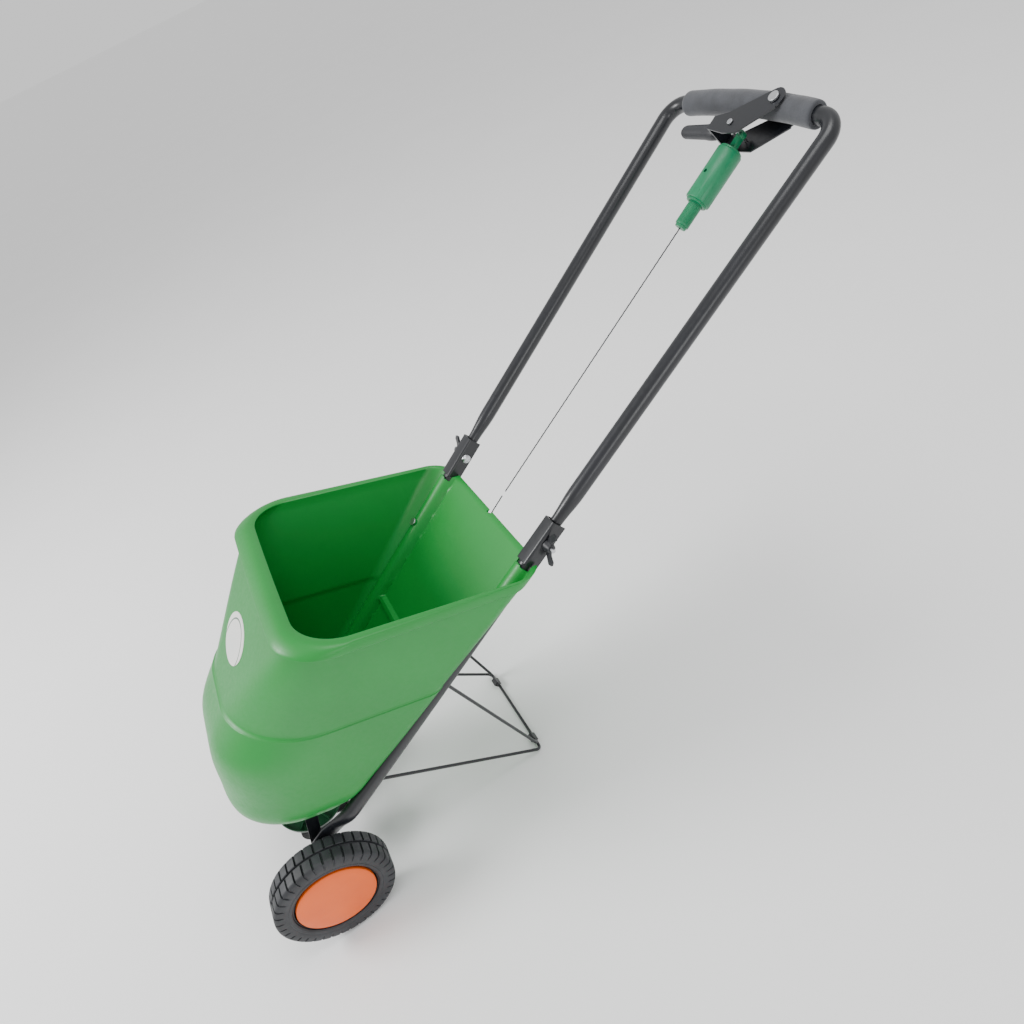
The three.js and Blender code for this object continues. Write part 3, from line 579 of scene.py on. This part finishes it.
def cap_mesh(side):
    face = INNER + TREAD_W
    r = 56.1
    profile = [(face - 6, r), (face - 2.2, r), (face - 1.2, r - 0.5), (face - 0.7, r - 1.4),
               (face + 0.1, r * 0.86), (face + 0.75, r * 0.66), (face + 1.2, r * 0.42), (face + 1.5, r * 0.2),
               (face + 1.6, 0)]
    profile = [(face - 11.7, r - 6), (face - 11.7, r - 2)] + profile
    profile = [(face - 2.2, 0), (face - 3, r - 7)] + profile
    return turned(profile, (side, 0, 0), (0, 0, 0), 96, GROUND)


def hub_mesh(side):
    face = INNER + TREAD_W
    seat = 59.6
    profile = [(INNER - 1.5, 5.4), (INNER - 1.5, 14.5), (INNER - 0.5, 16), (INNER + 17, 18), (INNER + 19, 20),
               (INNER + 20, 40), (INNER + 17.5, 44), (INNER + 5, seat - 4), (INNER + 4.1, seat - 1.5),
               (INNER + 4.6, seat), (face - 4, seat), (face - 4, seat - 1), (face - 12, seat - 3), (face - 12, 5.4)]
    hub = turned(profile, (side, 0, 0), (0, 0, 0), 72, GROUND, closed=True)
    ribs = []
    for i in range(6):
        angle = i * math.pi / 3
        rib = block((13, 3, 30), (0, 0, 33), Matrix.Identity(4))
        rib.transform(GROUND @ Matrix.Translation((side * (INNER + 14), 0, 0)) @ Matrix.Rotation(angle, 4, "X"))
        ribs.append(rib)
    return joined(hub, *ribs)


for name, side, body in (("left", 1, "axle_drive"), ("right", -1, "free_wheel")):
    finish_piece(tyre_mesh(side), f"treaded_tyre_{name}", "tyre_rubber", body, [f"tyre_{name}"], sharp=28.0)
    finish_piece(cap_mesh(side), f"domed_cap_{name}", "orange_plastic", body, [f"wheel_cap_{name}"])
    finish_piece(hub_mesh(side), f"ribbed_hub_{name}", "black_plastic", body, [f"wheel_hub_{name}"])


# ------------------------------------------------------------------ frame tubes and handle
def handle_path():
    """Stations of (x, s, half width across, half depth) from one end to the middle."""
    path = []
    for k in range(9):
        t = k * math.pi / 16
        path.append((tube_x(FOLD_S), FOLD_S - 8.4 * math.cos(t), 7.9, max(8.4 * math.sin(t), 1.2)))
    path += [(tube_x(96), 96, 7.9, 8.4)]
    for k in range(1, 9):
        t = k / 8
        ease = t * t * (3 - 2 * t)
        s = 96 + 44 * t
        path.append((tube_x(s), s, 7.9 + (TUBE_R - 7.9) * ease, 8.4 + (TUBE_R - 8.4) * ease))
    corner_s = BAR_S - CORNER_R
    for k in range(1, 9):
        s = 140 + (corner_s - 12 - 140) * k / 8
        path.append((tube_x(s), s, TUBE_R, TUBE_R))
    for k in range(17):
        t = k * math.pi / 32
        path.append((tube_x(corner_s) - CORNER_R * (1 - math.cos(t)), corner_s + CORNER_R * math.sin(t),
                     TUBE_R, TUBE_R))
    start_x = tube_x(corner_s) - CORNER_R
    for k in range(1, 12):
        x = start_x * (1 - k / 12)
        blend_in = min(1.0, (start_x - x) / 30)
        path.append((x, BAR_S * (1 - blend_in) + bar_s(x) * blend_in, TUBE_R, TUBE_R))
    return path


def handle_mesh():
    half = handle_path()
    path = half + [(-x, s, a, b) for x, s, a, b in reversed(half)]
    rings = []
    for i, (x, s, a, b) in enumerate(path):
        before, after = path[max(i - 1, 0)], path[min(i + 1, len(path) - 1)]
        way = Vector((after[0] - before[0], after[1] - before[1], 0)).normalized()
        rings.append(ellipse((x, s, 0), Vector((way.y, -way.x, 0)) * a, (0, 0, -b), 40))
    tube = lofted(rings, TUBES)
    holes = [turned([(-22, 0), (-22, 3.3), (22, 3.3), (22, 0)], (1, 0, 0),
                    (side * tube_x(FOLD_S), FOLD_S, 0), 24, TUBES) for side in (1, -1)]
    holes.append(turned([(-22, 0), (-22, 3.2), (22, 3.2), (22, 0)], (0, 0, 1), LEVER_PIVOT, 24, TUBES))
    return carved(tube, holes)


finish_piece(handle_mesh(), "bent_handle_tube", "black_painted_steel", "handle", ["handle_tube"])


def grip_mesh():
    """Foam sleeve on the bowed bar, open at both ends, with softened rims and faint squeeze marks."""
    half = GRIP_HALF
    outer, inner = [], []
    places = [-1, -0.995, -0.985, -0.96] + [-0.9 + 0.1 * k for k in range(19)] + [0.96, 0.985, 0.995, 1]
    for share in places:
        x = half * share
        edge = min(1.0, (1 - abs(share)) * half / 3.2)
        r = GRIP_R - 2.2 * (1 - math.sqrt(1 - (1 - edge) ** 2)) - 0.18 * (1 + math.sin(x * 0.11))
        outer.append(ellipse((x, bar_s(x), 0), (0, r, 0), (0, 0, r), 48))
        inner.append(ellipse((x, bar_s(x), 0), (0, 11.15, 0), (0, 0, 11.15), 48))
    return lofted(outer + inner[::-1], TUBES, closed=True)


grip_hole = turned([(-40, 0), (-40, 4), (40, 4), (40, 0)], (0, 0, 1), LEVER_PIVOT, 24, TUBES)
grip = finish_piece(carved(grip_mesh(), [grip_hole]), "foam_sleeve", "grip_foam", "handle", ["foam_grip"],
                    sharp=50.0)


def axle_in_tube():
    """The axle in tube-plane coordinates (s, h)."""
    return (-(TUBE_Y * math.cos(TUBE_ANGLE) + TUBE_Z * math.sin(TUBE_ANGLE)),
            TUBE_Y * math.sin(TUBE_ANGLE) - TUBE_Z * math.cos(TUBE_ANGLE))


def lower_tube_mesh(side):
    """The straight tube, flattened below and bent down to the axle; keys are (x, s, h, way s, way h, a, b)."""
    axle_s, axle_h = axle_in_tube()
    down = Vector((-math.sin(TUBE_ANGLE), -math.cos(TUBE_ANGLE)))
    leg = LEG_X

    def on_leg(t, b):
        return leg, axle_s - t * down.x, axle_h - t * down.y, -down.x, -down.y, 3.9, b

    bend_s = axle_s + axle_h * down.x / -down.y
    keys = [on_leg(-13.8, 4.5), on_leg(-12.4, 7.5), on_leg(-9.8, 10.0), on_leg(-5.5, 12.4), on_leg(0, 13.5),
            on_leg(8, 13.8), on_leg(24, 13.8), on_leg(40, 13.8)]
    keys.append((leg, bend_s, 0.5, -down.x / 2 + 0.5, -down.y / 2, 3.9, 13.8))
    widening = [(95, -456, 3.9, 13.4), (97.5, -446, 4.9, 12.9), (100, -436, 6.1, 12.2), (103.8, -426, 8.0, 11.5),
                (107.5, -416, 9.7, 10.9), (109.8, -407, 10.5, 10.75)]
    keys += [(x, s, 0, 1, 0, a, b) for x, s, a, b in widening]
    keys += [(tube_x(s), s, 0, 1, 0, TUBE_R, TUBE_R) for s in (-398, -300, -200, -100, 0, 28, 30, 33.8)]
    rings = []
    for x, s, h, ts, th, a, b in keys:
        rings.append(ellipse((side * x, s, h), (side * a, 0, 0), (0, th * b, -ts * b), 36))
    tube = lofted(rings, TUBES)
    eye = turned([(-20, 0), (-20, 8), (20, 8), (20, 0)], (1, 0, 0), (side * leg, axle_s, axle_h), 32, TUBES)
    return carved(tube, [eye])


def channel_mesh(side):
    """The U channel that holds the handle's end, open towards the back."""
    half, front, back, wall = 12.0, 12.0, -9.0, 2.2
    outline = [(-half, back)]
    outline += [(-half + 4 * (1 - math.cos(t)), front - 4 + 4 * math.sin(t))
                for t in (k * math.pi / 12 for k in range(7))]
    outline += [(-x, h) for x, h in reversed(outline)]
    inner_half, r = half - wall, 2.2
    inner = [(inner_half, back)]
    inner += [(inner_half - r * (1 - math.cos(t)), front - wall - r + r * math.sin(t))
              for t in (k * math.pi / 8 for k in range(5))]
    inner += [(-x, h) for x, h in reversed(inner)]
    outline += inner
    rings = []
    for s in (30.0, 62.0, 95.0):
        rings.append([Vector((side * (tube_x(s) + x), s, h)) for x, h in outline])
    mesh = lofted(rings, TUBES)
    hole = turned([(-30, 0), (-30, 3.4), (30, 3.4), (30, 0)], (1, 0, 0), (side * tube_x(FOLD_S), FOLD_S, 0), 24,
                  TUBES)
    return carved(mesh, [hole])


for name, side in (("left", 1), ("right", -1)):
    finish_piece(lower_tube_mesh(side), f"frame_tube_{name}", "black_painted_steel", "frame",
                 [f"lower_tube_{name}"])
    finish_piece(channel_mesh(side), f"handle_channel_{name}", "black_painted_steel", "frame", [], bevel=0.5)


# ------------------------------------------------------------------ stand
def stand_paths():
    def foot(side):
        return side * tube_x(-343), -343, -3

    def apex(side):
        return side * 94, -261, -275

    bow = rounded([foot(1), apex(1), apex(-1), foot(-1)], 11)
    braces = {}
    for side in (1, -1):
        corners = [(side * tube_x(-170), -170, -3), (side * 86, -258, -269.2), (side * 58, -258, -269.2)]
        braces[side] = rounded(corners, 9)
    return bow, braces


BOW, BRACES = stand_paths()
finish_piece(swept(BOW, WIRE_R, 20, TUBES), "stand_wire", "black_painted_steel", "frame", ["stand_bar"])
for name, side in (("left", 1), ("right", -1)):
    finish_piece(swept(BRACES[side], WIRE_R, 20, TUBES), f"brace_wire_{name}", "black_painted_steel", "frame",
                 [f"stand_brace_{name}"])
    refined(f"stand_clip_{name}", bevel=0.8)


# ------------------------------------------------------------------ squeeze lever and adjuster
refined("squeeze_lever", bevel=0.45)


def tip_mesh():
    """A soft rounded cover over the lever's end with a shallow finger hollow."""
    rings = []
    for k in range(25):
        t = k / 24
        x = -27.2 - 69.6 * t
        body_a = 10.6 + 0.8 * math.sin(min(t * 3.2, 1) * math.pi) - 1.9 * t
        body_b = 9.2 + 0.9 * math.sin(min(t * 3.2, 1) * math.pi) - 0.6 * t
        close = math.sqrt(max(0.0, 1 - max(0.0, (t - 0.86) / 0.1405) ** 2))
        start = min(1.0, 0.86 + t * 6)
        a, b = body_a * close * start, body_b * close * start
        rings.append(ellipse((x, 625 + (x + 27) * 0.1, 0), (0, max(a, 0.15), 0), (0, 0, -max(b, 0.15)), 36))
    return lofted(rings, TUBES)


tip_hole = block((46.6, 10.6, 4.6), (-48, 622, 0), TUBES)
finish_piece(carved(tip_mesh(), [tip_hole]), "lever_tip_cover", "black_plastic", "lever", ["lever_tip"])

PIN = Vector((10, 628, CABLE_H))
GUIDE = Vector((0, 36, CABLE_H))
PULL = (GUIDE - PIN).normalized()


def sleeve_mesh():
    profile = [(21.1, 6.6), (21.1, 14.4), (22.0, 15.4), (23.8, 15.5), (24.3, 16.6), (25.4, 17.3), (95.4, 17.3),
               (96.6, 16.8), (97.0, 15.8), (97.2, 14.4), (99.4, 14.3), (99.9, 13.6), (99.9, 10.4), (33.2, 10.4),
               (33.2, 6.6)]
    body = turned(profile, PULL, PIN, 72, TUBES, closed=True)
    square = PULL.cross(Vector((0, 0, 1))).normalized()
    mark = PIN + PULL * 62
    hole = turned([(13.5, 0), (13.5, 2.6), (22, 2.6), (22, 0)], (0, 0, 1), mark, 24, TUBES)
    slots = []
    for k in range(16):
        angle = (k + 0.5) * 2 * math.pi / 16
        way = square * math.cos(angle) + Vector((0, 0, 1)) * math.sin(angle)
        where = PIN + PULL * 90 + way * 17.9
        slots.append(turned([(-4.5, 0), (-4.5, 0.9), (4.5, 0.9), (4.5, 0)], PULL, where, 12, TUBES))
    return carved(body, [hole] + slots)


def barrel_mesh():
    profile = [(67.2, 1.35), (67.2, 9.6), (130.5, 9.6), (131.4, 9.2), (131.8, 8.0), (134.6, 7.8), (135.0, 7.2),
               (135.0, 1.35)]
    ridges = []
    for along, radius in profile:
        ridges.append((along, radius))
        if radius == 9.6 and along < 70:
            for k in range(16):
                base = 100.6 + k * 1.8
                ridges += [(base, 9.6), (base + 0.35, 9.15), (base + 0.75, 9.15), (base + 1.1, 9.6)]
    return turned(ridges, PULL, PIN, 48, TUBES, closed=True)


finish_piece(sleeve_mesh(), "ribbed_sleeve", "adjuster_green", "adjuster", ["adjuster_sleeve"], sharp=40.0)
finish_piece(barrel_mesh(), "threaded_barrel", "adjuster_green", "pull_rod", ["adjuster_barrel"], sharp=30.0)
refined("adjuster_clevis", bevel=0.6)


def strand_mesh(start, end, radius=0.82, lay=9.0):
    """A twisted wire of three strands."""
    start, end = Vector(start), Vector(end)
    way = (end - start).normalized()
    u = way.orthogonal().normalized()
    v = way.cross(u)
    length = (end - start).length
    count = int(length / 3)
    rings = []
    for k in range(count + 1):
        turn = 2 * math.pi * (length * k / count) / (lay * 3)
        ring = []
        for i in range(12):
            t = 2 * math.pi * i / 12
            r = radius + 0.16 * math.cos(3 * (t - turn))
            ring.append(start + way * (length * k / count) + (u * math.cos(t) + v * math.sin(t)) * r)
        rings.append(ring)
    return lofted(rings, TUBES)


upper_end = PIN + PULL * ((PIN.y - FOLD_GAP[1]) / -PULL.y)
finish_piece(strand_mesh(PIN + PULL * 126, upper_end), "twisted_wire_upper", "dark_wire", "pull_rod",
             ["pull_wire_upper"], sharp=60.0)
LOW_HEAD, LOW_FOOT = Vector((0, FOLD_GAP[0], CABLE_H)), Vector((0, -409, -16))
low_way = (LOW_HEAD - LOW_FOOT).normalized()
ferrule = turned([(-3, 0), (-3, 2.6), (-2.3, 3.3), (2.3, 3.3), (3, 2.6), (3, 0)], low_way, LOW_FOOT, 32, TUBES)
finish_piece(joined(strand_mesh(LOW_FOOT, LOW_HEAD), ferrule), "twisted_wire_lower", "dark_wire", "lower_wire",
             ["pull_wire_lower"], sharp=45.0)

# ------------------------------------------------------------------ fastenings and the drive
for name in ("left", "right"):
    refined(f"wing_nut_{name}", bevel=0.8, segments=3)
    refined(f"clamp_bolt_{name}", bevel=0.3)
    refined(f"hopper_bolt_upper_{name}", bevel=0.7)
    refined(f"hopper_bolt_lower_{name}", bevel=0.7)
    refined(f"front_strut_{name}", bevel=0.6)
    refined(f"axle_bush_{name}", bevel=0.3)
    refined(f"axle_washer_{name}", bevel=0.2)
    refined(f"axle_clip_{name}", bevel=0.2)
for node, width in (("lever_pivot_bolt", 0.7), ("lever_pivot_nut", 0.4), ("clevis_pin", 0.4),
                    ("axle_rod", 0.5), ("crown_gear", 0.2), ("impeller_pinion", 0.15),
                    ("gearbox_upper", 0.8), ("gearbox_lower", 0.8), ("impeller_shaft", 0.3),
                    ("agitator", 0.6), ("outlet_base_plate", 0.4), ("gate_plate", 0.3),
                    ("gearbox_arm", 0.5), ("wire_guide", 0.4)):
    refined(node, bevel=width)


def impeller_mesh():
    z, radius, hub, rim = 24.0, 47.8, 11.0, 9.0
    profile = [(z + 0.1, 2.9), (z + 0.1, radius - 5), (z + 0.8, radius - 3.4), (z + rim - 0.8, radius),
               (z + rim, radius - 0.5), (z + rim, radius - 1.6), (z + 3.6, radius - 4.6),
               (z + 2.5, radius - 6), (z + 2.4, hub + 1.5), (z + 3.4, hub), (z + 10.2, hub - 2),
               (z + 10.9, hub - 2.8), (z + 10.9, 2.9)]
    dish = turned(profile, (0, 0, 1), (0, 0, 0), 96, BODY, closed=True)
    fins = []
    for k in range(6):
        angle = (k + 0.5) * math.pi / 3
        matrix = BODY @ Matrix.Rotation(angle, 4, "Z")
        rings = []
        sections = ((hub - 1, 7.6, 1.3), (hub + 8, 7.8, 1.1), (30, 7.4, 0.9), (radius - 5.4, 6.6, 0.8))
        for x, height, thick in sections:
            rings.append([Vector((x, -thick, z + 1.4)), Vector((x, thick, z + 1.4)),
                          Vector((x, thick * 0.8, z + height)), Vector((x, -thick * 0.8, z + height))])
        fins.append(lofted(rings, matrix))
    return joined(dish, *fins)


finish_piece(impeller_mesh(), "finned_impeller", "dark_green_plastic", "impeller_unit", ["impeller"])

# ------------------------------------------------------------------ floor, light and camera
def stage_material(name, color, rough):
    def build(tree, shader):
        drift = noise(tree, 3.0, 3.0)
        tint = tuple(c * 0.985 for c in color)
        link(tree, ramp(tree, drift, [(0.3, tint), (0.7, color)]), shader.inputs["Base Color"])
        shader.inputs["Roughness"].default_value = rough
    return material(name, build)


floor_mesh = bpy.data.meshes.new("floor")
floor_mesh.from_pydata([(-90, -90, 0), (90, -90, 0), (90, 90, 0), (-90, 90, 0)], [], [(0, 1, 2, 3)])
floor_mesh.materials.append(stage_material("pale_floor", (0.93, 0.93, 0.93), 0.9))
floor = bpy.data.objects.new("floor", floor_mesh)
bpy.context.scene.collection.objects.link(floor)

world = bpy.data.worlds.new("studio")
world.use_nodes = True
world.node_tree.nodes["Background"].inputs["Color"].default_value = (1, 1, 1, 1)
world.node_tree.nodes["Background"].inputs["Strength"].default_value = 0.9
bpy.context.scene.world = world


def area_light(name, place, target, size, power):
    data = bpy.data.lights.new(name, "AREA")
    data.shape = "DISK"
    data.size = size
    data.energy = power
    lamp = bpy.data.objects.new(name, data)
    lamp.location = place
    lamp.rotation_euler = (Vector(target) - Vector(place)).to_track_quat("-Z", "Y").to_euler()
    bpy.context.scene.collection.objects.link(lamp)


area_light("key", (-0.9, -2.3, 2.1), (0, -0.2, 0.3), 1.3, 75)
area_light("top", (0.4, 0.6, 2.8), (0, 0, 0.4), 1.6, 28)
area_light("side", (2.6, -0.2, 1.1), (0, -0.2, 0.3), 1.2, 14)

AZIMUTH, ELEVATION, ROLL = (math.radians(v) for v in (77.1, 38.8, -26.3))
FOCAL_LENGTH = 26.56
LENS_SHIFT = (-0.0334, -0.0175)
back = Vector((math.sin(AZIMUTH) * math.cos(ELEVATION), -math.cos(AZIMUTH) * math.cos(ELEVATION),
               math.sin(ELEVATION)))
right = Vector((-back.y, back.x, 0)).normalized()
up = (-back).cross(right) * -1
right_rolled = right * math.cos(ROLL) + up * math.sin(ROLL)
up_rolled = up * math.cos(ROLL) - right * math.sin(ROLL)
camera_data = bpy.data.cameras.new("camera")
camera_data.sensor_width = 36
camera_data.lens = FOCAL_LENGTH
camera_data.shift_x, camera_data.shift_y = LENS_SHIFT
camera_data.clip_end = 200
camera = bpy.data.objects.new("camera", camera_data)
place = Vector((0.8307, 0.3672 + AXLE_Y / 1000, 1.0383))
camera.matrix_world = Matrix.Translation(place) @ Matrix((right_rolled, up_rolled, back)).transposed().to_4x4()
bpy.context.scene.collection.objects.link(camera)
bpy.context.scene.camera = camera
